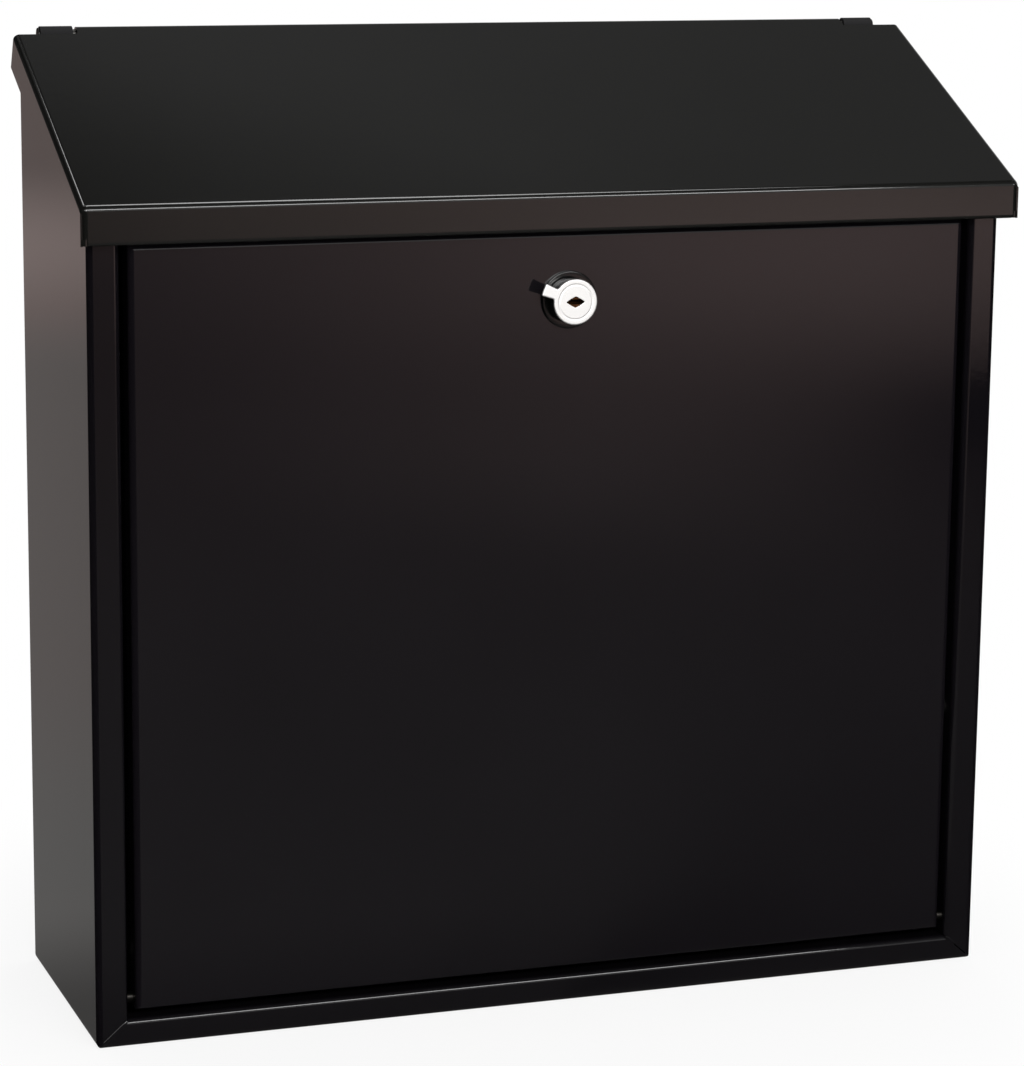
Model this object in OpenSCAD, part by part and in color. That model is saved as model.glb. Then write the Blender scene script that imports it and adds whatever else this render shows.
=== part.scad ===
// Wall mounted mailbox: a folded steel box with a sloping lid over the mail slot and a lockable
// door that drops forward. The origin lies on the back face, at the centre of the four wall holes.
// X runs to the viewer's right, Y into the wall and Z up. Heights are given from the underside.

/* [Box] */
// Width over the two side walls
box_w = 361; // [320:1:460]
// Depth from the wall to the front face
box_d = 112; // [95:1:150]
// Thickness of the folded sheet of the box
sheet = 1; // [0.8:0.1:1.2]
// Width of the face strips beside the door
strip_w = 12; // [8:0.5:16]
// Width of the face strip below the door
sill_w = 10.5; // [8:0.5:16]
// Depth of the edges that turn in around the door opening
jamb_d = 9; // [8:0.5:12]
// Outer radius of the folds in the box and the door
fold_r = 2.2; // [1.6:0.1:3]
// Width of the open seam where two folded edges meet at a corner
seam = 0.4; // [0.2:0.1:0.8]

/* [Back panel] */
// Thickness of the back panel
back_t = 1.2; // [1:0.1:1.6]
// Depth of the weld flanges of the back panel
weld_flange = 8; // [6:0.5:12]
// Sideways distance between the wall holes
hole_span = 240; // [200:5:280]
// Upward distance between the wall holes
hole_rise = 220; // [180:5:240]
// Height of the lower wall holes above the underside
hole_low = 75; // [50:5:100]
// Radius of the wall holes
hole_r = 3.5; // [2.5:0.25:4.5]

/* [Door] */
// Height of the door
door_h = 287.6; // [250:0.1:340]
// Gap beside the door
door_gap = 3; // [2:0.25:5]
// Gap below the door
door_gap_low = 3.3; // [3:0.1:5]
// Gap above the door
door_gap_top = 1.1; // [1:0.25:3]
// Depth of the door's turned edges
door_d = 9; // [8:0.5:12]
// Height of the door pivots above the door's lower edge
pivot_rise = 4.2; // [4:0.1:7]
// Distance of the door pivots behind the front face
pivot_set = 4.5; // [4.3:0.1:5]
// Radius of the pivot pins
pin_r = 1.6; // [1.4:0.1:2]
// Height of the rail above the door
rail_h = 13.5; // [10:0.5:20]

/* [Lid] */
// Thickness of the lid
lid_t = 0.8; // [0.7:0.05:1]
// How far the lid reaches past each side wall
lid_side = 4; // [3:0.5:8]
// How far the lid reaches past the front face
lid_front = 9; // [7:0.5:14]
// Slope of the lid, in degrees
lid_slope = 25.4; // [18:0.2:32]
// Height of the lid's front apron
apron_h = 14; // [10:0.5:20]
// Depth of the lid's side skirts, square to the slope
skirt_h = 14.25; // [10:0.25:20]
// Outer radius of the lid's front and side folds
lid_fold_r = 2.3; // [1.4:0.1:3]
// Depth of the lip turned in below the apron
lip_d = 4; // [3:0.5:6]
// Clearance under the closed lid
lid_rest = 0.3; // [0.2:0.05:0.6]

/* [Hinge] */
// Radius of the hinge rod
rod_r = 1.75; // [1.5:0.05:2.2]
// Width of each knuckle
knuckle_w = 12.5; // [10:0.5:16]
// Distance of each knuckle from the outside of the box
knuckle_inset = 7; // [5:0.5:40]
// Gap between the lid's rolled edge and a knuckle
knuckle_gap = 1.5; // [0.5:0.25:3]
// Distance down the slope from the hinge to the lid's two back corners
corner_set = 4.7; // [4.3:0.1:7]

/* [Lock] */
// Distance of the lock to the right of the middle
lock_x = 2.7; // [-40:0.1:40]
// Distance of the lock below the door's top edge
lock_drop = 25.8; // [22:0.1:30]
// Radius of the lock barrel
barrel_r = 7.75; // [7.5:0.05:8]
// Radius of the lock head
head_r = 8.2; // [8.1:0.1:10]
// Distance from the door face to the lock head's front
head_l = 7.1; // [6.5:0.1:9]
// Radius of the collar behind the lock head
collar_r = 10.9; // [10.5:0.1:14]
// Thickness of the collar
collar_t = 1.2; // [0.8:0.1:2]
// Radius of the key plug
plug_r = 5.5; // [5.2:0.1:6]
// Width of the key slot
key_w = 7.2; // [6.5:0.1:7.8]
// Height of the key slot
key_h = 1.9; // [1.5:0.1:2.4]
// Reach of the cam from the lock axis
cam_reach = 34; // [32:0.5:36]
// Thickness of the cam
cam_t = 2; // [1.5:0.1:2.5]
// Angle of the shutter's thumb tab above the left, in degrees
tab_angle = 22; // [0:1:40]
// Distance from the lock axis to the tip of the thumb tab
tab_reach = 13.6; // [12:0.2:16]

/* [Hidden] */
$fn = 64;
weld_gap = 0.1;      // between plates that are welded face to face
run_fit = 0.05;      // radial clearance of parts that turn in each other
press_gap = 0.01;    // radial clearance of parts that stay fixed in each other
overcut = 1;         // how far a cut runs past the face it opens
lap = 0.01;          // how far slanted stretches of one sheet run into each other

corner_r = fold_r + 0.3;
inner_w = box_w - 2 * sheet;
opening_w = box_w - 2 * strip_w;

door_low = sill_w + door_gap_low;
door_top = door_low + door_h;
door_w = box_w - 2 * (strip_w + door_gap);
rail_low = door_top + door_gap_top;
rail_top = rail_low + rail_h;
pivot_y = -box_d + pivot_set;
pivot_h = door_low + pivot_rise;

pattern_h = hole_low + hole_rise / 2;

lid_w = box_w + 2 * lid_side;
lid_y = -box_d - lid_front;
lid_front_h = rail_top;
lid_turn = 90 - lid_slope;
lid_tangent = lid_fold_r * tan(lid_turn / 2);
corner_gap = 0.3;
apron_w = lid_w - 2 * (lid_fold_r + corner_gap);
lip_r = lid_t + 0.6;
tab_r = lid_t + 0.9;
tab_l = 5;

knuckle_r = rod_r + press_gap + back_t;
knuckle_span = box_w - 2 * (knuckle_inset + knuckle_w);
roll_r = rod_r + run_fit + lid_t;
hinge_y = -knuckle_r;
hinge_h = lid_front_h + (hinge_y - lid_y) * tan(lid_slope) - roll_r / cos(lid_slope);
back_top = hinge_h - roll_r - 2.1;
tongue_w = knuckle_span - 2 * knuckle_gap;
slope_len = (hinge_y - lid_y - roll_r * sin(lid_slope)) / cos(lid_slope);
flat_end = slope_len - lid_tangent;

lock_h = door_top - lock_drop;
flat_half = barrel_r - 1;
barrel_back = -door_d;
shutter_t = 0.7;
shutter_gap = 0.1;
shutter_wall = 0.35;
shutter_r = head_r + run_fit + shutter_wall;
shutter_skirt = 3.4;
ring_r = 0.6;
nut_t = 3.5;
washer_t = 0.8;
nut_af = 2 * barrel_r + 4;
tail_side = 6;
tail_gap = 0.05;
cam_front = barrel_back - 1.5;
cam_back = cam_front - cam_t;
cam_root_r = 7.5;
cam_tip_r = 5;
cam_washer_t = 0.6;
screw_r = 2;
screw_head_r = 3.5;
screw_head_t = 2;
screw_in = 5;
plug_head_r = plug_r + 0.8;
plug_head_l = 2;
wafer_count = 5;
wafer_pitch = 2.4;
wafer_t = 0.8;
wafer_h = 5;
wafer_w = 2 * sqrt(pow(plug_r - 0.1, 2) - pow(wafer_h / 2, 2));
wafer_gap = 0.06;
ear_w = 1.2;
ear_h = 1.2;
spring_r = 0.55;
spring_wire = 0.14;
spring_turns = 4;

// Height of a line parallel to the lid, at a distance off the hinge axis, above a given depth
function slope_h(y, off) = hinge_h + off / cos(lid_slope) + (y - hinge_y) * tan(lid_slope);

// Moves a shape whose heights start at the underside into the part's frame
module from_underside() {
    translate([0, 0, -pattern_h]) children();
}

// Draws an outline of depth and height across the box, centred on the middle
module across(w) {
    translate([-w / 2, 0, 0]) rotate([90, 0, 90]) linear_extrude(w) children();
}

// Draws an outline of width and height from a front depth to a back depth
module deep(front, back) {
    translate([0, back, 0]) rotate([90, 0, 0]) linear_extrude(back - front) children();
}

// Part of a ring: a fold in a sheet of thickness t, seen end on
module fold(r, t, from, to) {
    intersection() {
        difference() {
            circle(r);
            circle(r - t);
        }
        polygon(concat([[0, 0]], [for (i = [0:6]) 2 * r * [cos(from + (to - from) * i / 6),
                                                           sin(from + (to - from) * i / 6)]]));
    }
}

// A rectangle that starts at the X axis, its two lower corners rounded
module rounded_low(w, h, r) {
    translate([-w / 2 + r, 0]) square([w - 2 * r, h]);
    translate([-w / 2, r]) square([w, h - r]);
    for (side = [-1, 1]) translate([side * (w / 2 - r), r]) circle(r);
}

// A block that fills a folded pan: its front face is y = 0 and the front edges are rounded
module pan_block(w, h, d, r) {
    intersection() {
        linear_extrude(h) rounded_low(w, d, r);
        across(w) translate([0, h / 2]) mirror([1, -1, 0]) rounded_low(h, d, r);
    }
}

// The space inside an opening whose front edges curve outward with radius r
module flared_block(w, low, tall, d, r) {
    reach = w / 2 + r;
    intersection() {
        linear_extrude(tall) difference() {
            translate([-reach, -overcut]) square([2 * reach, d + overcut]);
            for (side = [-1, 1]) {
                translate([side * reach, r]) circle(r);
                translate([side * (reach + w / 2), r + d / 2]) square([w + 2 * r, d], center = true);
            }
        }
        across(2 * reach) difference() {
            translate([-overcut, low - r]) square([d + overcut, tall]);
            translate([r, low - r]) circle(r);
            translate([r, low - r - tall]) square([d, tall + r]);
        }
    }
}

module lower_corners(w, r) {
    deep(-box_d - overcut, overcut) rounded_low(w, 2 * hinge_h, r);
}

module side_outline() {
    off = roll_r - lid_t - lid_rest;
    knee = hinge_y + (back_top - hinge_h - off / cos(lid_slope)) / tan(lid_slope);
    front = -box_d - overcut;
    polygon([[front, -overcut], [overcut, -overcut], [overcut, back_top],
             [knee, back_top], [front, slope_h(front, off)]]);
}

// Thin slanted cut for the open seam of a corner, running inward and up from the corner
module seam_cut(from, to, depth, rise = 45) {
    rotate([0, -rise, 0]) translate([from / cos(rise), 0, -seam / 2])
        cube([(to - from) / cos(rise), depth, seam]);
}

// Sides, floor, face strips and jambs, folded from one sheet
module body_shell() {
    tall = 2 * hinge_h;
    inner_r = fold_r - sheet;
    color([0.13, 0.12, 0.12]) from_underside() difference() {
        intersection() {
            translate([0, -box_d, 0]) pan_block(box_w, tall, box_d, fold_r);
            lower_corners(box_w, corner_r);
            across(box_w + 2 * overcut) side_outline();
        }
        // the inside, less the jambs that stand in it
        difference() {
            intersection() {
                translate([0, -box_d + sheet, sheet]) pan_block(inner_w, tall, box_d, inner_r);
                translate([0, 0, sheet]) lower_corners(inner_w, corner_r - sheet);
            }
            translate([0, -box_d + sheet, 0])
                flared_block(opening_w + 2 * sheet, sill_w - sheet, tall, jamb_d - sheet, inner_r);
        }
        translate([0, -box_d, 0]) flared_block(opening_w, sill_w, tall, box_d, fold_r);
        for (side = [-1, 1]) translate([side * box_w / 2, -box_d - overcut, 0])
            mirror([side > 0 ? 1 : 0, 0, 0])
                seam_cut(corner_r, strip_w + sheet, jamb_d + 2 * overcut, atan(sill_w / strip_w));
        // the jambs stop below the rail, which passes behind the face strips
        translate([-inner_w / 2, -box_d + sheet, rail_low - overcut])
            cube([inner_w, jamb_d + overcut, hinge_h]);
        for (side = [-1, 1])
            translate([side * opening_w / 2, pivot_y, pivot_h]) rotate([0, 90, 0])
                cylinder(r = pin_r + press_gap, h = 2 * (sheet + overcut), center = true);
    }
}

// Side view of a knuckle: the panel runs up and curls over the hinge rod
module knuckle_outline() {
    curl = 290;
    translate([-back_t, back_top - weld_flange]) square([back_t, hinge_h - back_top + weld_flange]);
    translate([hinge_y, hinge_h]) fold(knuckle_r, back_t, 0, curl);
}

// Half of a view across the panel: the plate folds forward into a weld flange
module flange_outline(half) {
    bend = 2 * back_t;
    translate([half - 2 * bend, -back_t]) square([bend, back_t]);
    translate([half - bend, -bend]) fold(bend, back_t, 0, 90);
    translate([half - back_t, -weld_flange]) square([back_t, weld_flange - bend]);
}

module back_panel() {
    half = inner_w / 2 - weld_gap;
    low = sheet + weld_gap;
    bend = 2 * back_t;
    flange_low = low + 2 * bend;
    flange_top = back_top - weld_flange / 2;
    color([0.11, 0.11, 0.11]) from_underside() difference() {
        union() {
            translate([-half + bend, -back_t, low + bend])
                cube([2 * (half - bend), back_t, back_top - low - bend]);
            for (side = [-1, 1]) {
                translate([0, 0, flange_low]) linear_extrude(flange_top - flange_low)
                    mirror([side < 0 ? 1 : 0, 0]) flange_outline(half);
                translate([side * (knuckle_span + knuckle_w) / 2, 0, 0])
                    across(knuckle_w) knuckle_outline();
            }
            across(2 * (half - 2 * bend)) mirror([1, -1, 0]) mirror([1, 0, 0])
                flange_outline(-low);
        }
        for (x = [-hole_span / 2, hole_span / 2], h = [hole_low, hole_low + hole_rise])
            translate([x, 0, h]) rotate([90, 0, 0])
                cylinder(r = hole_r, h = 2 * (back_t + overcut), center = true);
    }
}

module top_rail() {
    low = rail_low;
    face = -box_d + sheet + weld_gap;
    back = -box_d + jamb_d - 1;
    color([0.13, 0.12, 0.12]) from_underside() across(inner_w - 2 * weld_gap) {
        translate([face, low + fold_r]) square([sheet, rail_h - 2 * fold_r]);
        translate([face + fold_r, low + fold_r]) fold(fold_r, sheet, 180, 270);
        translate([face + fold_r, low + rail_h - fold_r]) fold(fold_r, sheet, 90, 180);
        for (h = [low, low + rail_h - sheet])
            translate([face + fold_r, h]) square([back - face - fold_r, sheet]);
    }
}

// A straight rod with a peened head at each end
module hinge_rod() {
    head = 0.8;
    length = knuckle_span + 2 * knuckle_w + 0.2;
    color([0.2, 0.2, 0.2]) from_underside() translate([0, hinge_y, hinge_h]) rotate([0, 90, 0]) {
        cylinder(r = rod_r, h = length, center = true);
        for (side = [-1, 1]) translate([0, 0, side * (length + head) / 2])
            cylinder(r = rod_r + 0.7, h = head, center = true);
    }
}

// Shoulder rivet, drawn with its head in the left jamb
module door_pin() {
    shoulder_r = pin_r + 0.5;
    jamb_x = -box_w / 2 + strip_w;
    from_underside() translate([jamb_x, pivot_y, pivot_h]) rotate([0, 90, 0]) {
        translate([0, 0, -sheet - 1]) cylinder(r = pivot_set - fold_r, h = 1);
        translate([0, 0, -sheet]) cylinder(r = pin_r, h = sheet + door_gap + sheet + 1.5);
        cylinder(r = shoulder_r, h = door_gap - 0.3);
    }
}

module door_pin_left() {
    color([0.25, 0.25, 0.25]) door_pin();
}

module door_pin_right() {
    color([0.25, 0.25, 0.25]) mirror([1, 0, 0]) door_pin();
}

// Places shapes on the lid's slope: the hinge axis is the origin and the front lies at -Y
module on_slope() {
    translate([0, hinge_y, hinge_h]) rotate([lid_slope, 0, 0]) children();
}

// Side view of the lid along its slope, from its back corners to the lip below the apron
module lid_outline() {
    drop = apron_h - lid_tangent - lip_r;
    translate([-flat_end, roll_r - lid_t]) square([flat_end - corner_set, lid_t]);
    translate([-flat_end, roll_r - lid_fold_r]) {
        fold(lid_fold_r, lid_t, 90, 90 + lid_turn);
        rotate(lid_turn) {
            translate([-drop, lid_fold_r - lid_t]) square([drop + lap, lid_t]);
            translate([-drop, lid_fold_r - lip_r]) fold(lip_r, lid_t, 90, 180);
            translate([-drop - lip_r, lid_fold_r - lip_d]) square([lid_t, lip_d - lip_r]);
        }
    }
}

// Side view of the rolled back edge, with a stretch of the flat lid
module roll_outline() {
    curl = 260;
    fold(roll_r, lid_t, 90 - curl, 90);
    translate([-2 * corner_set, roll_r - lid_t]) square([2 * corner_set, lid_t]);
}

// View along the slope of the right side: the lid folds down into a skirt
module skirt_outline() {
    edge = lid_w / 2;
    translate([edge - 3 * lid_fold_r, roll_r - lid_t]) square([2 * lid_fold_r, lid_t]);
    translate([edge - lid_fold_r, roll_r - lid_fold_r]) fold(lid_fold_r, lid_t, 0, 90);
    translate([edge - lid_t, roll_r - skirt_h]) square([lid_t, skirt_h - lid_fold_r]);
}

// View from above of the right end of the apron, which is bent back inside the skirt
module apron_end() {
    edge = lid_w / 2 - lid_t - weld_gap;
    start = apron_w / 2 - 2 * overcut;
    translate([start, lid_y]) square([edge - tab_r - start, lid_t]);
    translate([edge - tab_r, lid_y + tab_r]) fold(tab_r, lid_t, -90, 0);
    translate([edge - lid_t, lid_y + tab_r]) square([lid_t, tab_l]);
}

module lid() {
    color([0.1, 0.1, 0.1]) from_underside() {
        on_slope() {
            across(tongue_w) roll_outline();
            across(apron_w) lid_outline();
        }
        for (side = [-1, 1]) mirror([side < 0 ? 1 : 0, 0, 0]) {
            on_slope() deep(-flat_end + corner_gap, -corner_set) skirt_outline();
            // the skirt runs on past the fold, is cut upright behind the apron and ends level with it
            intersection() {
                on_slope() deep(-slope_len - skirt_h, -corner_set)
                    translate([lid_w / 2 - lid_t, roll_r - skirt_h])
                        square([lid_t, skirt_h - lid_fold_r]);
                translate([0, lid_y + lid_t, lid_front_h - apron_h])
                    cube([lid_w, -lid_y, 2 * hinge_h]);
            }
            translate([0, 0, lid_front_h - apron_h + lip_r + corner_gap])
                linear_extrude(apron_h - lip_r - lid_tangent - 2 * corner_gap) apron_end();
        }
    }
}

// A round bar with two flats, standing on its end
module double_flat(r, half, length) {
    intersection() {
        cylinder(r = r, h = length);
        translate([-half, -r - overcut, 0]) cube([2 * half, 2 * (r + overcut), length]);
    }
}

// Places shapes on the lock axis: the door face is z = 0 and the front lies at +z
module on_lock() {
    from_underside() translate([lock_x, -box_d, lock_h]) rotate([90, 0, 0]) children();
}

// Pan with four turned edges, whose corners are open seams behind the folds
module door_panel() {
    middle = door_low + door_h / 2;
    color([0.12, 0.115, 0.115]) difference() {
        from_underside() difference() {
            translate([0, -box_d, door_low]) pan_block(door_w, door_h, door_d, fold_r);
            translate([0, -box_d + sheet, door_low + sheet])
                pan_block(door_w - 2 * sheet, door_h - 2 * sheet, door_d, fold_r - sheet);
            for (x = [0, 1], z = [0, 1])
                translate([(x - 0.5) * door_w, -box_d + fold_r, middle + (z - 0.5) * door_h])
                    mirror([x, 0, 0]) mirror([0, 0, z]) seam_cut(-sheet, 2 * sheet, door_d);
            translate([0, pivot_y, pivot_h]) rotate([0, 90, 0])
                cylinder(r = pin_r + run_fit, h = door_w + 2 * overcut, center = true);
        }
        on_lock() translate([0, 0, -sheet - overcut])
            double_flat(barrel_r + press_gap, flat_half + press_gap, sheet + 2 * overcut);
    }
}

module lock_collar() {
    edge = 0.4;
    color([0.05, 0.05, 0.05]) on_lock() difference() {
        rotate_extrude() polygon([[0, 0], [collar_r, 0], [collar_r, collar_t - edge],
                                  [collar_r - edge, collar_t], [0, collar_t]]);
        translate([0, 0, -overcut])
            double_flat(barrel_r + press_gap, flat_half + press_gap, collar_t + 2 * overcut);
    }
}

module lock_housing() {
    groove_z = head_l - shutter_skirt / 2;
    color([0.6, 0.6, 0.62]) on_lock() difference() {
        union() {
            translate([0, 0, collar_t]) cylinder(r = head_r, h = head_l - collar_t);
            translate([0, 0, barrel_back]) double_flat(barrel_r, flat_half, collar_t - barrel_back);
        }
        translate([0, 0, groove_z]) rotate_extrude()
            translate([head_r - 2 * ring_r, -ring_r]) square([2 * ring_r + overcut, 2 * ring_r]);
        translate([0, 0, barrel_back - overcut])
            cylinder(r = plug_r + run_fit, h = head_l - barrel_back + 2 * overcut);
        translate([0, 0, head_l - plug_head_l - shutter_gap])
            cylinder(r = plug_head_r + run_fit, h = plug_head_l + overcut);
    }
}

module lock_washer() {
    color([0.7, 0.7, 0.7]) on_lock() translate([0, 0, -sheet - washer_t]) difference() {
        cylinder(r = nut_af / 2, h = washer_t);
        translate([0, 0, -overcut])
            double_flat(barrel_r + press_gap, flat_half + press_gap, washer_t + 2 * overcut);
    }
}

module lock_nut() {
    color([0.7, 0.7, 0.7]) on_lock() translate([0, 0, -sheet - washer_t - nut_t]) difference() {
        cylinder(r = nut_af / sqrt(3), h = nut_t, $fn = 6);
        translate([0, 0, -overcut]) cylinder(r = barrel_r + press_gap, h = nut_t + 2 * overcut);
    }
}

// Cap that turns on the lock head, with a thumb tab and a lozenge opening for the key
module dust_shutter() {
    face = head_l + shutter_gap;
    tab_root = 3.8;
    tab_tip = 4.8;
    opening_w = key_w;
    opening_h = 4.2;
    color([0.85, 0.86, 0.88]) on_lock() difference() {
        union() {
            translate([0, 0, face - shutter_skirt])
                cylinder(r = shutter_r, h = shutter_skirt + shutter_t);
            translate([0, 0, face]) rotate([0, 0, 180 - tab_angle]) linear_extrude(shutter_t)
                polygon([[head_r / 2, -tab_root / 2], [head_r - 1, -tab_root / 2],
                         [tab_reach, -tab_tip / 2], [tab_reach, tab_tip / 2],
                         [head_r - 1, tab_root / 2], [head_r / 2, tab_root / 2]]);
        }
        translate([0, 0, face - shutter_skirt - overcut])
            cylinder(r = head_r + run_fit, h = shutter_skirt + overcut);
        translate([0, 0, face - overcut]) linear_extrude(shutter_t + 2 * overcut)
            polygon([[-opening_w / 2, 0], [0, -opening_h / 2], [opening_w / 2, 0], [0, opening_h / 2]]);
    }
}

// Rubber ring in the groove of the lock head, which keeps the shutter from turning by itself
module shutter_ring() {
    color([0.06, 0.06, 0.06]) on_lock() translate([0, 0, head_l - shutter_skirt / 2])
        rotate_extrude() translate([head_r - ring_r, 0]) circle(ring_r - run_fit);
}

// Places a child at each wafer of the plug
module at_wafers() {
    first = head_l - plug_head_l - shutter_gap - 2;
    for (i = [0:wafer_count - 1]) translate([0, 0, first - i * wafer_pitch]) children();
}

module lock_plug() {
    face = head_l - shutter_gap;
    spring_room = spring_r + 0.2;
    color([0.78, 0.62, 0.32]) on_lock() difference() {
        union() {
            translate([0, 0, barrel_back]) cylinder(r = plug_r, h = face - barrel_back);
            translate([0, 0, face - plug_head_l + run_fit])
                cylinder(r = plug_head_r, h = plug_head_l - run_fit);
            translate([-tail_side / 2, -tail_side / 2, cam_back])
                cube([tail_side, tail_side, barrel_back - cam_back + overcut]);
        }
        translate([-key_w / 2, -key_h / 2, barrel_back + 2])
            cube([key_w, key_h, face - barrel_back]);
        at_wafers() {
            translate([-plug_r - overcut, -wafer_h / 2 - wafer_gap, -wafer_t / 2 - wafer_gap])
                cube([2 * (plug_r + overcut), wafer_h + 2 * wafer_gap, wafer_t + 2 * wafer_gap]);
            translate([-wafer_w / 2 - overcut, 0, -wafer_t / 2 - wafer_gap])
                cube([wafer_w / 2 + overcut, wafer_h / 2 + ear_h + wafer_gap, wafer_t + 2 * wafer_gap]);
            translate([-2.6, wafer_h / 2 + ear_h / 2, 0]) rotate([0, 90, 0])
                cylinder(r = spring_room, h = 5);
        }
        translate([0, 0, cam_back - overcut])
            cylinder(r = screw_r + press_gap, h = screw_in + overcut + press_gap);
    }
}

// Five sliding plates with a window for the key, drawn in as if the key were in place
module plug_wafers() {
    window_w = key_w + 0.2;
    window_h = key_h + 0.3;
    color([0.8, 0.66, 0.36]) on_lock() at_wafers() translate([0, 0, -wafer_t / 2])
        difference() {
            union() {
                translate([-wafer_w / 2, -wafer_h / 2, 0]) cube([wafer_w, wafer_h, wafer_t]);
                translate([-3.8, 0, 0]) cube([ear_w, wafer_h / 2 + ear_h - 0.1, wafer_t]);
            }
            translate([-window_w / 2, -window_h / 2, -overcut])
                cube([window_w, window_h, wafer_t + 2 * overcut]);
        }
}

module wafer_springs() {
    length = 4.6;
    color([0.75, 0.76, 0.78]) on_lock() at_wafers()
        translate([-2.4, wafer_h / 2 + ear_h / 2, 0]) rotate([0, 90, 0])
            linear_extrude(length, twist = -360 * spring_turns, slices = 10 * spring_turns, $fn = 8)
                translate([spring_r - spring_wire, 0]) circle(spring_wire);
}

// Flat arm that swings behind the rail when the key turns
module lock_cam() {
    length = cam_reach - cam_tip_r;
    color([0.72, 0.73, 0.75]) on_lock() translate([0, 0, cam_back]) difference() {
        union() {
            cylinder(r = cam_root_r, h = cam_t);
            linear_extrude(cam_t)
                polygon([[0, -cam_root_r], [-length, -cam_tip_r], [-length, cam_tip_r], [0, cam_root_r]]);
            translate([-length, 0, 0]) cylinder(r = cam_tip_r, h = cam_t);
        }
        translate([-tail_side / 2 - tail_gap, -tail_side / 2 - tail_gap, -overcut])
            cube([tail_side + 2 * tail_gap, tail_side + 2 * tail_gap, cam_t + 2 * overcut]);
    }
}

module cam_washer() {
    color([0.7, 0.7, 0.7]) on_lock() translate([0, 0, cam_back - cam_washer_t]) difference() {
        cylinder(r = tail_side * 0.95, h = cam_washer_t);
        translate([0, 0, -overcut]) cylinder(r = screw_r + 0.1, h = cam_washer_t + 2 * overcut);
    }
}

module cam_screw() {
    slot_w = 1;
    head_back = cam_back - cam_washer_t - screw_head_t;
    color([0.72, 0.73, 0.75]) on_lock() difference() {
        union() {
            translate([0, 0, head_back]) cylinder(r = screw_head_r, h = screw_head_t);
            translate([0, 0, head_back + screw_head_t]) cylinder(r = screw_r, h = screw_in + cam_washer_t);
        }
        for (turn = [0, 90]) rotate([0, 0, turn])
            translate([-screw_head_r * 0.6, -slot_w / 2, head_back - overcut])
                cube([screw_head_r * 1.2, slot_w, overcut + screw_head_t / 2]);
    }
}

body_shell();
back_panel();
top_rail();
hinge_rod();
door_pin_left();
door_pin_right();
lid();
door_panel();
lock_collar();
lock_housing();
lock_washer();
lock_nut();
dust_shutter();
shutter_ring();
lock_plug();
plug_wafers();
wafer_springs();
lock_cam();
cam_washer();
cam_screw();
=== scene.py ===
"""Wall mounted mailbox of black powder-coated sheet steel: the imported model, dressed for the studio."""

import math

import bmesh
import bpy
from mathutils import Matrix, Vector


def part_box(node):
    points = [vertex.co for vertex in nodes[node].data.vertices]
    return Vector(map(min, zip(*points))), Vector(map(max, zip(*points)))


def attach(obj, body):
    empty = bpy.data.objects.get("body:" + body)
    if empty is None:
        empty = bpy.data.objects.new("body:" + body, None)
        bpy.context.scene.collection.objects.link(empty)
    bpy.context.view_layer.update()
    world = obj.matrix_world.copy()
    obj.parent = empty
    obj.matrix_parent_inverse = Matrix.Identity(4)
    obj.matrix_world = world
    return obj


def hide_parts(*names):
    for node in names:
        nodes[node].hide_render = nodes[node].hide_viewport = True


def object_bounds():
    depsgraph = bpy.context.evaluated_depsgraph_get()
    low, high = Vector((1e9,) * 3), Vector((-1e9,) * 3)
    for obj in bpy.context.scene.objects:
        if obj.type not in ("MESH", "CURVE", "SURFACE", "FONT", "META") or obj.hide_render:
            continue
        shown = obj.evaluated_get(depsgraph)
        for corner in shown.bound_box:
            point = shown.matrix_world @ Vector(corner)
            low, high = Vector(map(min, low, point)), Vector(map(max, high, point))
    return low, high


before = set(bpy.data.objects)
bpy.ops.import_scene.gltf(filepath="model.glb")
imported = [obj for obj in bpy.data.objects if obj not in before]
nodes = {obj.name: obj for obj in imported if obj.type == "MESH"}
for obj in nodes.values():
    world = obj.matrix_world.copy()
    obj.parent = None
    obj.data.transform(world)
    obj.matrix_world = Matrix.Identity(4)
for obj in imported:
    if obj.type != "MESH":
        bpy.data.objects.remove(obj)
cad_box = [list(corner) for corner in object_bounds()]
scene = bpy.context.scene

# ---------------------------------------------------------------------------------------------
# Camera
# A short telephoto view from the front left and a little above, with a slight lean.
# It leaves a little room at both sides, so that both front corners of the lid stay in.
# ---------------------------------------------------------------------------------------------
view_turn = math.radians(-19.407)
view_rise = math.radians(11.598)
view_lean = math.radians(-0.608)
view_distance = 1.4114
aim = Vector((0.0031, -0.050, -0.0109))

back = Vector((math.sin(view_turn) * math.cos(view_rise),
               -math.cos(view_turn) * math.cos(view_rise),
               math.sin(view_rise)))
level_right = Vector((math.cos(view_turn), math.sin(view_turn), 0))
level_up = back.cross(level_right)
right = math.cos(view_lean) * level_right - math.sin(view_lean) * level_up
up = math.sin(view_lean) * level_right + math.cos(view_lean) * level_up
optics = bpy.data.cameras.new("camera")
optics.lens = 120.35
optics.sensor_width = 36
optics.clip_start = 0.05
camera = bpy.data.objects.new("camera", optics)
scene.collection.objects.link(camera)
camera.matrix_world = Matrix((
    (right.x, up.x, back.x, 0),
    (right.y, up.y, back.y, 0),
    (right.z, up.z, back.z, 0),
    (0, 0, 0, 1),
))
camera.location = aim + back * view_distance
scene.camera = camera
scene.view_settings.view_transform = "Standard"


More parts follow.
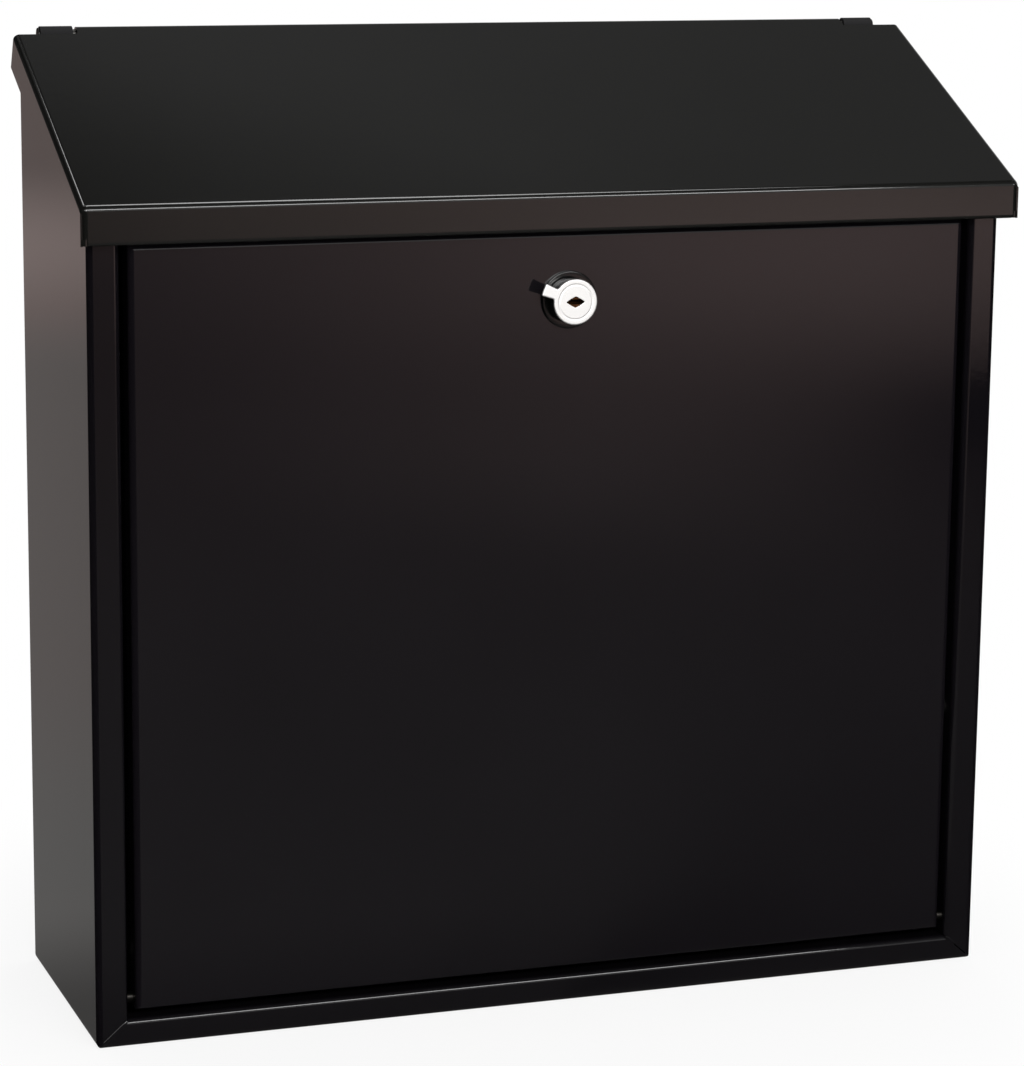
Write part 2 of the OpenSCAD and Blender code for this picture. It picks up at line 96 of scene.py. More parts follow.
# ---------------------------------------------------------------------------------------------
# Box shell and top rail
# One sheet of 1 mm steel folded into sides, floor and face strips, with a channel rail welded in
# across the front. Both are powder coated black in one go after welding.
# ---------------------------------------------------------------------------------------------
def linear(hex_colour):
    """A colour written as sRGB hex, as the linear RGBA that a shader takes."""
    steps = [int(hex_colour[i:i + 2], 16) / 255 for i in (1, 3, 5)]
    return [s / 12.92 if s <= 0.04045 else ((s + 0.055) / 1.055) ** 2.4 for s in steps] + [1.0]


def add(tree, kind, inputs=None, **settings):
    """Adds a node: its inputs take a value or another node's output, by name or by number."""
    made = tree.nodes.new(kind)
    for name, value in settings.items():
        setattr(made, name, value)
    for key, value in (inputs or {}).items():
        if isinstance(value, bpy.types.NodeSocket):
            tree.links.new(value, made.inputs[key])
        else:
            made.inputs[key].default_value = value
    return made


def blank_material(name):
    """An empty material and its node tree."""
    made = bpy.data.materials.new(name)
    made.use_nodes = True
    made.node_tree.nodes.clear()
    return made, made.node_tree


def cells_of(size_mm):
    """The texture scale whose cells are this many millimetres wide."""
    return 1000 / size_mm


def powder_coat(name, colour, thin_colour, roughness):
    """Baked polyester powder: near black, and by its roughness a gloss that mirrors the room or
    a matt that hardly does. The film flows into a faint orange peel and carries a fine grain."""
    peel_depth = 0.000006
    grain_depth = 0.000001
    haze_spread = 0.02
    made, tree = blank_material(name)
    place = add(tree, "ShaderNodeTexCoord").outputs["Object"]
    # the film pools and thins over hands' breadths, which drifts its tone
    pooling = add(tree, "ShaderNodeTexNoise", {"Vector": place, "Scale": cells_of(70)})
    tone = add(tree, "ShaderNodeMix", {0: pooling.outputs["Fac"], 6: linear(colour),
                                       7: linear(thin_colour)}, data_type="RGBA")
    # orange peel is 2 to 3 mm from crest to crest and a few microns deep
    peel = add(tree, "ShaderNodeTexNoise", {"Vector": place, "Scale": cells_of(2.6), "Detail": 1.0})
    # the grain is 0.1 mm; it is drawn at 0.5 mm so that it shows
    grain = add(tree, "ShaderNodeTexNoise", {"Vector": place, "Scale": cells_of(0.5), "Detail": 2.0})
    waves = add(tree, "ShaderNodeBump", {"Height": peel.outputs["Fac"], "Strength": 1.0,
                                         "Distance": peel_depth})
    skin = add(tree, "ShaderNodeBump", {"Height": grain.outputs["Fac"], "Strength": 1.0,
                                        "Distance": grain_depth,
                                        "Normal": waves.outputs["Normal"]})
    haze = add(tree, "ShaderNodeMapRange", {"Value": grain.outputs["Fac"],
                                            "To Min": roughness - haze_spread,
                                            "To Max": roughness + haze_spread})
    film = add(tree, "ShaderNodeBsdfPrincipled", {"Base Color": tone.outputs[2],
                                                  "Roughness": haze.outputs["Result"],
                                                  "Normal": skin.outputs["Normal"],
                                                  "IOR": 1.5})
    add(tree, "ShaderNodeOutputMaterial", {"Surface": film.outputs["BSDF"]})
    return made


def finish(pieces, material):
    """Gives each piece a material in place of any that it has."""
    for piece in pieces:
        piece.data.materials.clear()
        piece.data.materials.append(material)


finish([nodes["body_shell"], nodes["top_rail"]],
       powder_coat("box_powder_coat", "#09080a", "#0d0b0e", 0.05))

# ---------------------------------------------------------------------------------------------
# Back panel
# A 1.2 mm steel plate with weld flanges all round, four wall holes and two knuckles rolled
# round the hinge rod. It is coated dead matt, inside and out, and welded into the shell.
# ---------------------------------------------------------------------------------------------
finish([nodes["back_panel"]], powder_coat("panel_powder_coat", "#0b0a0c", "#0f0e10", 0.85))


# ---------------------------------------------------------------------------------------------
# Hinge rod
# A straight length of 3.5 mm drawn steel wire, pushed through the knuckles and the lid's rolled
# edge, with both ends peened over.
# ---------------------------------------------------------------------------------------------
# faces that meet at more than this show an edge, and others blend
edge_angle = math.radians(32)


def ringed(name, rings, closed=True):
    """A mesh skinned over rings of points. Closed joins the last ring to the first, and otherwise
    a face fills each end."""
    mesh = bpy.data.meshes.new(name)
    shape = bmesh.new()
    rows = [[shape.verts.new(point) for point in ring] for ring in rings]
    count = len(rows[0])
    pairs = list(zip(rows, rows[1:] + rows[:1])) if closed else list(zip(rows, rows[1:]))
    for low, high in pairs:
        for i in range(count):
            j = (i + 1) % count
            shape.faces.new((low[i], low[j], high[j], high[i]))
    if not closed:
        shape.faces.new(list(reversed(rows[0])))
        shape.faces.new(rows[-1])
    bmesh.ops.recalc_face_normals(shape, faces=shape.faces)
    for face in shape.faces:
        face.smooth = True
    shape.to_mesh(mesh)
    shape.free()
    mesh.set_sharp_from_angle(angle=edge_angle)
    made = bpy.data.objects.new(name, mesh)
    scene.collection.objects.link(made)
    return made


def circle(radius, height, count=64):
    """A ring of points about the Z axis."""
    return [Vector((radius * math.cos(2 * math.pi * i / count),
                    radius * math.sin(2 * math.pi * i / count), height)) for i in range(count)]


def turned(name, profile, closed=False, count=64):
    """A part turned on a lathe about the Z axis, from (radius, height) pairs in millimetres."""
    return ringed(name, [circle(radius, height, count) for radius, height in profile], closed)


def round_edge(radius, height, size, start, end, steps=5):
    """Profile points of a rounded edge, centred at a radius and height, from one angle to another."""
    turns = [math.radians(start + (end - start) * i / steps) for i in range(steps + 1)]
    return [(radius + size * math.cos(turn), height + size * math.sin(turn)) for turn in turns]


def seat(piece, origin, z_axis=(0, 0, 1), x_axis=(1, 0, 0)):
    """Moves a piece drawn in millimetres about its own axis to its place, in metres."""
    z = Vector(z_axis)
    x = Vector(x_axis)
    y = z.cross(x)
    place = Matrix((
        (x.x, y.x, z.x, origin[0]),
        (x.y, y.y, z.y, origin[1]),
        (x.z, y.z, z.z, origin[2]),
        (0, 0, 0, 1),
    ))
    piece.data.transform(place @ Matrix.Scale(0.001, 4))
    piece.data.update()
    return piece


def middle(node):
    """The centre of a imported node's box."""
    low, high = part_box(node)
    return [(low[i] + high[i]) / 2 for i in range(3)]


def fit_on(piece, body, material):
    """A finished piece that rides on a body and takes the given material."""
    finish([piece], material)
    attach(piece, body)


def stand_in(piece, body, slot, material, *replaced):
    """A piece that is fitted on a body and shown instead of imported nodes."""
    fit_on(piece, body, material)
    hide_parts(*replaced)


def metal(name, colour, dull_colour, roughness, spread, mottle_mm, stretch=(1, 1, 1), score=0.0):
    """A metal surface whose tone and gloss are broken up by a mottle, or by drawn out tool marks."""
    made, tree = blank_material(name)
    place = add(tree, "ShaderNodeTexCoord").outputs["Object"]
    along = add(tree, "ShaderNodeMapping", {"Vector": place, "Scale": stretch})
    mottle = add(tree, "ShaderNodeTexNoise", {"Vector": along.outputs["Vector"],
                                              "Scale": cells_of(mottle_mm), "Detail": 3.0})
    tone = add(tree, "ShaderNodeMix", {0: mottle.outputs["Fac"], 6: linear(colour),
                                       7: linear(dull_colour)}, data_type="RGBA")
    haze = add(tree, "ShaderNodeMapRange", {"Value": mottle.outputs["Fac"],
                                            "To Min": roughness - spread,
                                            "To Max": roughness + spread})
    marks = add(tree, "ShaderNodeBump", {"Height": mottle.outputs["Fac"], "Strength": 1.0,
                                         "Distance": score})
    face = add(tree, "ShaderNodeBsdfPrincipled", {"Base Color": tone.outputs[2], "Metallic": 1.0,
                                                  "Roughness": haze.outputs["Result"],
                                                  "Normal": marks.outputs["Normal"]})
    add(tree, "ShaderNodeOutputMaterial", {"Surface": face.outputs["BSDF"]})
    return made


# a turned end closes at this radius, as a lathe leaves it
core_r = 0.05
rod_r = 1.75
peen_round = 0.35
peen_height = 0.75
peen_neck = 0.1
rod_low, rod_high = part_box("hinge_rod")
rod_half = (rod_high[0] - rod_low[0]) * 500
rod_head = ([(core_r, -peen_height)]
            + round_edge(rod_r + peen_round, -peen_round, peen_round, -90, 90)
            + [(rod_r, peen_neck)])
rod_profile = [(r, z - rod_half + peen_height) for r, z in rod_head]
rod_profile += [(r, -z) for r, z in reversed(rod_profile)]
rod = seat(turned("rod_with_peened_ends", rod_profile, count=32), middle("hinge_rod"),
           z_axis=(1, 0, 0), x_axis=(0, 0, 1))
# drawn wire, oiled and darkened: long fine die lines along it, and a dull dark shine
stand_in(rod, "housing", "rod_steel",
         metal("drawn_steel_wire", "#4b4a48", "#302f2e", 0.4, 0.08, 0.4, (0.02, 1, 1), 0.000004),
         "hinge_rod")

# ---------------------------------------------------------------------------------------------
# Mitre welds
# The two lower corners of the face are mitred and closed with a fine weld bead that is left a
# little proud and coated over, so it catches the light. The right one stops halfway and leaves
# the outer part of the seam open and dark.
# ---------------------------------------------------------------------------------------------
shell_low, shell_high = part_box("body_shell")
half_w = shell_high[0] * 1000
face_y = shell_low[1] * 1000
foot_z = shell_low[2] * 1000
strip_w = 12.0
sill_w = 10.5
mitre_rise = sill_w / strip_w
bead_from = 1.2
bead_to = strip_w - 0.3
bead_half_w = 0.75
bead_proud = 0.45
bead_tip = 0.06
bead_steps = 24
inward = Vector((0, 1, 0))
for name, side, start in (("left", -1, 0.0), ("right", 1, 0.6)):
    outer = Vector((side * (half_w - bead_from), face_y, foot_z + bead_from * mitre_rise))
    inner = Vector((side * (half_w - bead_to), face_y, foot_z + bead_to * mitre_rise))
    across = (inner - outer).normalized().cross(inward)
    section = [bead_half_w * point.x * across - bead_proud * point.y * inward
               for point in circle(1.0, 0.0, 16)]
    rings = []
    for i in range(bead_steps + 1):
        part = i / bead_steps
        # full nearly to both ends, then rounded off
        swell = max(bead_tip, (1 - (2 * part - 1) ** 8) ** 0.5)
        centre = outer.lerp(inner, start + (1 - start) * part)
        rings.append([(centre + swell * point) / 1000 for point in section])
    bead = ringed("mitre_weld_" + name, rings, closed=False)
    fit_on(bead, "housing", nodes["body_shell"].data.materials[0])

# ---------------------------------------------------------------------------------------------
# Lid
# 0.8 mm steel: a flat slope, a front apron with a turned lip, two side skirts and a back edge
# rolled round the rod. It is coated by itself, in a gloss a touch softer than the box's.
# Each front corner is closed with a ball of weld at the top and a stub of it at the lip's end.
# ---------------------------------------------------------------------------------------------
finish([nodes["lid"]], powder_coat("lid_powder_coat", "#0f0f0e", "#131312", 0.08))

lid_low, lid_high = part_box("lid")
lid_slope = math.radians(25.4)
lid_fold_r = 2.3
lip_fold_r = 1.4
tab_fold_r = 1.7
apron_h = 14
weld_inset = 0.02
weld_bevel = 0.1
lid_half_w = lid_high[0] * 1000
front_y = lid_low[1] * 1000
eave_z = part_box("top_rail")[1][2] * 1000
ball_r = lid_fold_r - weld_inset
ball_z = eave_z - lid_fold_r * math.tan((math.pi / 2 - lid_slope) / 2)
stub_r = tab_fold_r - weld_inset
stub_h = 2 * lip_fold_r - weld_bevel
stub_z = eave_z - apron_h + weld_bevel
stub_profile = [(core_r, 0), (stub_r, weld_bevel), (stub_r, stub_h - weld_bevel), (core_r, stub_h)]
for name, side in (("left", -1), ("right", 1)):
    ball = turned("lid_corner_weld_" + name, round_edge(0, 0, ball_r, -88, 88, 16), count=24)
    seat(ball, (side * (lid_half_w - lid_fold_r) / 1000, (front_y + lid_fold_r) / 1000,
                ball_z / 1000))
    stub = turned("lip_end_weld_" + name, stub_profile, count=24)
    seat(stub, (side * (lid_half_w - tab_fold_r) / 1000, (front_y + tab_fold_r) / 1000,
                stub_z / 1000))
    for weld in (ball, stub):
        fit_on(weld, "lid", nodes["lid"].data.materials[0])

# ---------------------------------------------------------------------------------------------
# Door pins
# Two turned shoulder rivets in the edges of the opening, which the door hangs and turns on.
# Blackened steel: dark, with a soft oily shine on its rounded edges.
# ---------------------------------------------------------------------------------------------
door_sheet = 1.0
pin_r = 1.6
pin_l = 5.5
pin_head_r = 2.3
pin_head_t = 1.0
shoulder_r = 2.1
shoulder_l = 2.7
shoulder_bevel = 0.2
pin_edge = 0.5
pin_tip = 0.4
# height 0 is the face of the edge that the pin is riveted into
pin_back = -door_sheet - pin_head_t
pin_profile = ([(core_r, pin_back)]
               + round_edge(pin_head_r - pin_edge, pin_back + pin_edge, pin_edge, -90, 0)
               + [(pin_head_r, -door_sheet), (pin_r, -door_sheet), (pin_r, 0.0)]
               + [(shoulder_r - shoulder_bevel, 0.0), (shoulder_r, shoulder_bevel)]
               + round_edge(shoulder_r - pin_edge, shoulder_l - pin_edge, pin_edge, 0, 90)
               + round_edge(pin_r - pin_tip, pin_l - pin_tip, pin_tip, 0, 90)
               + [(core_r, pin_l)])
pin_steel = metal("blackened_turned_steel", "#34322f", "#1c1b1a", 0.36, 0.08, 0.6)
for node, outward in (("door_pin_left", -1), ("door_pin_right", 1)):
    low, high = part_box(node)
    _, y, z = middle(node)
    jamb = (low[0] if outward < 0 else high[0]) + outward * pin_back / 1000
    pin = seat(turned(node + "_rivet", pin_profile, count=32), (jamb, y, z),
               z_axis=(-outward, 0, 0), x_axis=(0, 0, 1))
    stand_in(pin, "housing", "pin_steel", pin_steel, node)

# ---------------------------------------------------------------------------------------------
# Door
# A pan of 1 mm steel with four turned edges and a hole with two flats for the lock.
# It is coated by itself, in the softest gloss of the three.
# ---------------------------------------------------------------------------------------------
finish([nodes["door_panel"]], powder_coat("door_powder_coat", "#0b090c", "#0f0d10", 0.11))

# ---------------------------------------------------------------------------------------------
# Lock collar
# A moulded nylon ring that spaces the lock's head off the door and hides the hole's edge.
# ---------------------------------------------------------------------------------------------
lock_low, lock_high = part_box("lock_collar")
lock_axis = ((lock_low[0] + lock_high[0]) / 2, lock_high[1], (lock_low[2] + lock_high[2]) / 2)
toward_viewer = (0, -1, 0)


def on_lock(piece):
    """Seats a piece on the lock's axis: the door's face is height 0 and the front is upward."""
    return seat(piece, lock_axis, z_axis=toward_viewer)


collar_r = 10.9
collar_t = 1.2
collar_edge = 0.5
collar_land = 1.6
barrel_r = 7.75
barrel_fit = 0.01
collar_profile = ([(barrel_r + barrel_fit, 0.0), (collar_r, 0.0)]
                  + round_edge(collar_r - collar_edge, collar_t - collar_edge, collar_edge, 0, 90)
                  + [(collar_r - collar_land, collar_t), (barrel_r + barrel_fit, collar_t)])
# nylon: jet black with a clean shine, from a polished mould
nylon, tree = blank_material("moulded_black_nylon")
place = add(tree, "ShaderNodeTexCoord").outputs["Object"]
# the mould's grain is 0.1 mm wide and 10 microns deep, and drawn 0.3 mm wide so that it shows
grain = add(tree, "ShaderNodeTexNoise", {"Vector": place, "Scale": cells_of(0.3), "Detail": 2.0})
skin = add(tree, "ShaderNodeBump", {"Height": grain.outputs["Fac"], "Distance": 0.00001})
tone = add(tree, "ShaderNodeMix", {0: grain.outputs["Fac"], 6: linear("#040404"),
                                   7: linear("#080808")}, data_type="RGBA")
body = add(tree, "ShaderNodeBsdfPrincipled", {"Base Color": tone.outputs[2], "Roughness": 0.14,
                                              "IOR": 1.53, "Normal": skin.outputs["Normal"]})
add(tree, "ShaderNodeOutputMaterial", {"Surface": body.outputs["BSDF"]})
collar = on_lock(turned("moulded_collar", collar_profile, closed=True))
stand_in(collar, "door", "collar_plastic", nylon, "lock_collar")

# ---------------------------------------------------------------------------------------------
# Lock body
# A zinc casting: a round head with a groove for the rubber ring, and a threaded barrel with two
# flats that keep it from turning in the door. It is painted near black, a painted dark reflection
# of its plated side, so the head stays dark.
# ---------------------------------------------------------------------------------------------
head_r = 8.2
head_l = 7.1
head_bevel = 0.15
rim_bevel = 0.3
barrel_back = -9.0
barrel_core_r = barrel_r - 0.5
barrel_lead = 0.8
flat_half = barrel_r - 1
thread_pitch = 1.0
thread_depth = 0.45
thread_steps = 6
thread_count = 96
thread_start = barrel_back + 0.02
thread_stop = collar_t - 0.1
plug_r = 5.5
plug_fit = 0.05
groove_mid = head_l - 1.7
groove_half = 0.6
groove_r = head_r - 1.2
recess_r = plug_r + 0.85
recess_floor = head_l - 2.1


def threaded(height, lead_in):
    """A ring of the barrel: the thread winds with the angle and the two flats cut it."""
    ring = []
    for point in circle(1.0, height, thread_count):
        angle = math.atan2(point.y, point.x) / (2 * math.pi)
        phase = (height / thread_pitch - angle) % 1.0
        radius = barrel_r - lead_in - thread_depth * abs(2 * phase - 1)
        x = max(-flat_half, min(flat_half, radius * point.x))
        ring.append(Vector((x, radius * point.y, height)))
    return ring


rings = [circle(plug_r + plug_fit, barrel_back, thread_count),
         circle(barrel_core_r - barrel_lead, barrel_back, thread_count)]
steps = int((thread_stop - barrel_back) / thread_pitch * thread_steps)
for i in range(steps + 1):
    rise = i / thread_steps * thread_pitch
    rings.append(threaded(thread_start + rise, max(0.0, barrel_lead - rise)))
head_profile = [(barrel_core_r, collar_t), (head_r - head_bevel, collar_t),
                (head_r, collar_t + head_bevel), (head_r, groove_mid - groove_half),
                (groove_r, groove_mid - groove_half), (groove_r, groove_mid + groove_half),
                (head_r, groove_mid + groove_half), (head_r, head_l - rim_bevel),
                (head_r - rim_bevel, head_l), (recess_r, head_l),
                (recess_r, recess_floor), (plug_r + plug_fit, recess_floor)]
rings += [circle(r, z, thread_count) for r, z in head_profile]
# near black over a casting, a painted dark reflection: glossy, with soft cast hollows 20 microns deep
# under it
dark_reflection_paint, tree = blank_material("zinc_painted_dark_reflection")
place = add(tree, "ShaderNodeTexCoord").outputs["Object"]
cast = add(tree, "ShaderNodeTexNoise", {"Vector": place, "Scale": cells_of(1.2), "Detail": 2.0})
skin = add(tree, "ShaderNodeBump", {"Height": cast.outputs["Fac"], "Distance": 0.00002})
tone = add(tree, "ShaderNodeMix", {0: cast.outputs["Fac"], 6: linear("#0a0a0a"),
                                   7: linear("#101010")}, data_type="RGBA")
body = add(tree, "ShaderNodeBsdfPrincipled", {"Base Color": tone.outputs[2], "Roughness": 0.12,
                                              "IOR": 1.5, "Normal": skin.outputs["Normal"]})
add(tree, "ShaderNodeOutputMaterial", {"Surface": body.outputs["BSDF"]})
housing = on_lock(ringed("threaded_lock_body", rings, closed=True))
stand_in(housing, "door", "lock_zinc", dark_reflection_paint, "lock_housing")

# ---------------------------------------------------------------------------------------------
# Lock washer and nut
# A flat washer and a thin hexagon nut clamp the lock from inside the door. Pressed and tapped
# steel, zinc plated: pale grey with a faint cloud in the plating.
# ---------------------------------------------------------------------------------------------
zinc = metal("zinc_plated_steel", "#c3c6ca", "#a3a6aa", 0.32, 0.07, 1.4)
finish([nodes["lock_washer"]], zinc)
washer_t = 0.8
nut_af = 2 * barrel_r + 4
nut_t = 3.5
nut_front = -door_sheet - washer_t
nut_back = nut_front - nut_t
nut_bore_r = barrel_r + barrel_fit
nut_mouth_r = barrel_r + 0.4
nut_mouth = 0.5
nut_count = 96
bevel_r = nut_af / 2 * 0.96
bevel_slope = math.tan(math.radians(30))


def flank(face, side):
    """A ring that follows the hexagon near one face, which is bevelled where it is far out."""
    ring = []
    for i, point in enumerate(circle(1.0, 0.0, nut_count)):
        angle = 2 * math.pi * i / nut_count
        radius = nut_af / 2 / math.cos(angle % (math.pi / 3) - math.pi / 6)
        bevel = max(0.0, (radius - bevel_r) * bevel_slope)
        ring.append(Vector((radius * point.x, radius * point.y, face + side * bevel)))
    return ring


rings = [circle(nut_bore_r, nut_back + nut_mouth, nut_count),
         circle(nut_mouth_r, nut_back, nut_count),
         circle(bevel_r, nut_back, nut_count),
         flank(nut_back, 1),
         flank(nut_front, -1),
         circle(bevel_r, nut_front, nut_count),
         circle(nut_mouth_r, nut_front, nut_count),
         circle(nut_bore_r, nut_front - nut_mouth, nut_count)]
nut = on_lock(ringed("bevelled_hexagon_nut", rings, closed=True))
stand_in(nut, "door", "nut_zinc", zinc, "lock_nut")

# ---------------------------------------------------------------------------------------------
# Key plug, wafers and springs
# The plug is turned from brass bar and slotted for the key; five stamped brass wafers slide in
# it on small springs of steel wire. The plug's brass is painted dark: painted shade deep in the lock.
# ---------------------------------------------------------------------------------------------
# painted shade: the plug's brass is darkened for its place deep behind the shutter
finish([nodes["lock_plug"]], metal("plug_brass_painted_shade", "#5a3a22", "#3a2415", 0.42, 0.08, 0.8))
finish([nodes["plug_wafers"]], metal("stamped_brass", "#c49a58", "#a47c42", 0.3, 0.06, 0.6))
coil_r = 0.41
wire_r = 0.14
coil_turns = 4
coil_steps = 16
coil_length = 4.6
wafer_count = 5
wafer_pitch = 2.4
spring_low, spring_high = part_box("wafer_springs")
spring_x = (spring_low[0] - lock_axis[0]) * 1000
spring_z = (spring_low[2] + spring_high[2]) * 500 - lock_axis[2] * 1000
spring_front = -(spring_low[1] - lock_axis[1]) * 1000 - coil_r - wire_r
# bright drawn wire: a small glint on every turn
wire = metal("drawn_spring_wire", "#b5b7ba", "#909295", 0.3, 0.06, 0.3)
for k in range(wafer_count):
    rings = []
    for i in range(coil_turns * coil_steps + 1):
        turn = 2 * math.pi * i / coil_steps
        along = wire_r + (coil_length - 2 * wire_r) * i / (coil_turns * coil_steps)
        outward = Vector((0, math.cos(turn), math.sin(turn)))
        centre = Vector((spring_x + along, spring_z, spring_front - k * wafer_pitch))
        centre += coil_r * outward
        rings.append([centre + wire_r * (point.x * outward + point.y * Vector((1, 0, 0)))
                      for point in circle(1.0, 0.0, 8)])
    coil = on_lock(ringed("spring_%d" % (k + 1), rings, closed=False))
    stand_in(coil, "lock_core", "spring_steel", wire, "wafer_springs")

# ---------------------------------------------------------------------------------------------
# Rubber ring and dust shutter
# The shutter is a cap pressed from thin brass: a flat nickel plated face with a pressed ring, a
# thumb tab and a lozenge for the key, and a skirt painted near black, a painted dark reflection.
# The rubber ring under the skirt keeps it where it is left.
# ---------------------------------------------------------------------------------------------
rubber, tree = blank_material("moulded_black_rubber")
place = add(tree, "ShaderNodeTexCoord").outputs["Object"]
# rubber: dead matt and sooty, from talc and wear
bloom = add(tree, "ShaderNodeTexNoise", {"Vector": place, "Scale": cells_of(0.8), "Detail": 3.0})
tone = add(tree, "ShaderNodeMix", {0: bloom.outputs["Fac"], 6: linear("#101010"),
                                   7: linear("#1d1d1c")}, data_type="RGBA")
skin = add(tree, "ShaderNodeBump", {"Height": bloom.outputs["Fac"], "Distance": 0.00002})
body = add(tree, "ShaderNodeBsdfPrincipled", {"Base Color": tone.outputs[2], "Roughness": 0.8,
                                              "IOR": 1.52, "Normal": skin.outputs["Normal"]})
add(tree, "ShaderNodeOutputMaterial", {"Surface": body.outputs["BSDF"]})
finish([nodes["shutter_ring"]], rubber)

cap_r = 8.6
cap_face = head_l + 0.1
cap_t = 0.7
cap_skirt = 3.4
skirt_t = 0.35
skirt_edge = 0.05
tab_turn = math.radians(180 - 22)
tab_reach = 13.6
tab_root = 1.9
tab_tip = 2.4
tab_root_at = head_r - 1
fillet = 0.8
tip_round = 0.6
disc_steps = 60
fillet_steps = 6
tip_steps = 7
key_half_w = 3.6
key_half_h = 2.1
# 1 would leave the lozenge's corners sharp and 2 would make it an ellipse
key_power = 1.12


def cap_outline():
    """The shutter's outline: a disc with a thumb tab, its inner corners filleted, its tip rounded."""
    slope = math.atan2(tab_tip - tab_root, tab_reach - tab_root_at)
    line = Vector((math.cos(slope), math.sin(slope)))
    square = Vector((-math.sin(slope), math.cos(slope)))
    start = Vector((tab_root_at, tab_root)) + fillet * square
    reach = start.dot(line)
    along = -reach + math.sqrt(reach * reach - start.dot(start) + (cap_r + fillet) ** 2)
    hub = start + along * line
    half = []
    leave = math.atan2(hub.y, hub.x)
    for i in range(disc_steps + 1):
        turn = math.pi - (math.pi - leave) * i / disc_steps
        half.append(Vector((cap_r * math.cos(turn), cap_r * math.sin(turn))))
    first = leave + math.pi
    last = slope + 1.5 * math.pi
    for i in range(1, fillet_steps + 1):
        turn = first + (last - first) * i / fillet_steps
        half.append(hub + fillet * Vector((math.cos(turn), math.sin(turn))))
    knob_x = tab_reach - tip_round
    knob_y = tab_root + (knob_x - tab_root_at) * math.tan(slope) - tip_round / math.cos(slope)
    for i in range(tip_steps + 1):
        turn = (slope + math.pi / 2) * (1 - i / tip_steps)
        half.append(Vector((knob_x + tip_round * math.cos(turn), knob_y + tip_round * math.sin(turn))))
    lower = [Vector((p.x, -p.y)) for p in half]
    return lower + [Vector((p.x, p.y)) for p in reversed(half[1:])]


def inset(outline, size):
    """The same outline moved inward by a size, along the bisector at each point."""
    moved = []
    for i, point in enumerate(outline):
        ahead = outline[(i + 1) % len(outline)] - point
        behind = point - outline[i - 1]
        course = (ahead.normalized() + behind.normalized()).normalized()
        moved.append(point + size * Vector((-course.y, course.x)))
    return moved


def lozenge(turn, grow):
    """Distance from the axis to the edge of the key opening, whose corners are a little rounded."""
    across = (abs(math.cos(turn)) / (key_half_w + grow)) ** key_power
    upward = (abs(math.sin(turn)) / (key_half_h + grow)) ** key_power
    return (across + upward) ** (-1 / key_power)


def lifted(outline, height):
    """An outline drawn about the tab, turned to the tab's own direction and set at a height."""
    cos, sin = math.cos(tab_turn), math.sin(tab_turn)
    return [Vector((p.x * cos - p.y * sin, p.x * sin + p.y * cos, height)) for p in outline]


edge = cap_outline()
headings = [math.atan2(p.y, p.x) for p in lifted(edge, 0.0)]


def polar(radius_at, height):
    """A ring of the face with a point in the direction of each point of the edge."""
    return [Vector((radius_at(turn) * math.cos(turn), radius_at(turn) * math.sin(turn), height))
            for turn in headings]


top = cap_face + cap_t
# the lozenge with its bevelled edge, then the pressed ring, then the rounded outer edge
rings = [polar(lambda turn: lozenge(turn, grow), height)
         for grow, height in ((0.0, cap_face), (0.0, top - 0.15), (0.05, top - 0.04),
                              (0.18, top), (0.3, top))]
rings += [polar(lambda turn: radius, height)
          for radius, height in ((5.95, top), (6.1, top), (6.35, top - 0.1),
                                 (6.75, top - 0.1), (7.0, top), (7.15, top))]
rings += [lifted(inset(edge, size), height)
          for size, height in ((0.6, top), (0.45, top), (0.22, top - 0.06), (0.07, top - 0.2),
                               (0.0, top - 0.42), (0.0, cap_face + 0.08), (0.08, cap_face))]
face = on_lock(ringed("pressed_shutter_face", rings, closed=True))
skirt_foot = cap_face - cap_skirt
skirt_in = cap_r - skirt_t
skirt_top = cap_face + skirt_edge
skirt_profile = [(skirt_in, skirt_top), (skirt_in, skirt_foot + skirt_edge),
                 (skirt_in + skirt_edge, skirt_foot), (cap_r - skirt_edge, skirt_foot),
                 (cap_r, skirt_foot + skirt_edge), (cap_r, skirt_top)]
skirt = on_lock(turned("pressed_shutter_skirt", skirt_profile, closed=True, count=96))
# bright nickel: near white, lightly brushed across, so it glows more than it mirrors
nickel = metal("brushed_nickel_plate", "#fefdfc", "#faf9f7", 0.58, 0.04, 0.5, (0.15, 1, 1), 0.000002)
stand_in(face, "shutter", "shutter_nickel", nickel, "dust_shutter")
# painted dark reflection: the skirt takes the head's near black
stand_in(skirt, "shutter", "lock_zinc", dark_reflection_paint, "dust_shutter")

# ---------------------------------------------------------------------------------------------
# Cam, its washer and screw
# A flat steel arm on the plug's square tail, which swings behind the top rail to lock the door.
# Stamped, zinc plated and held by one pan head screw with a cross slot.
# ---------------------------------------------------------------------------------------------
finish([nodes["lock_cam"], nodes["cam_washer"]], zinc)
screw_r = 2.0
screw_tip = 0.4
screw_head_r = 3.5
screw_head_t = 2.0
head_round = 1.0
under_bevel = 0.2
screw_low, screw_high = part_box("cam_screw")
screw_back = -(screw_high[1] - lock_axis[1]) * 1000
screw_front = -(screw_low[1] - lock_axis[1]) * 1000
screw_under = screw_back + screw_head_t
screw_profile = ([(core_r, screw_back)]
                 + round_edge(screw_head_r - head_round, screw_back + head_round, head_round, -90, 0)
                 + [(screw_head_r, screw_under - under_bevel),
                    (screw_head_r - under_bevel, screw_under), (screw_r, screw_under),
                    (screw_r, screw_front - screw_tip), (screw_r - screw_tip, screw_front),
                    (core_r, screw_front)])
screw = turned("pan_head_screw", screw_profile, count=48)
slot_half_l = screw_head_r * 0.6
slot_half_w = 0.5
slot_deep = 1.2
slot_taper = 0.8
cutter_over = 0.5
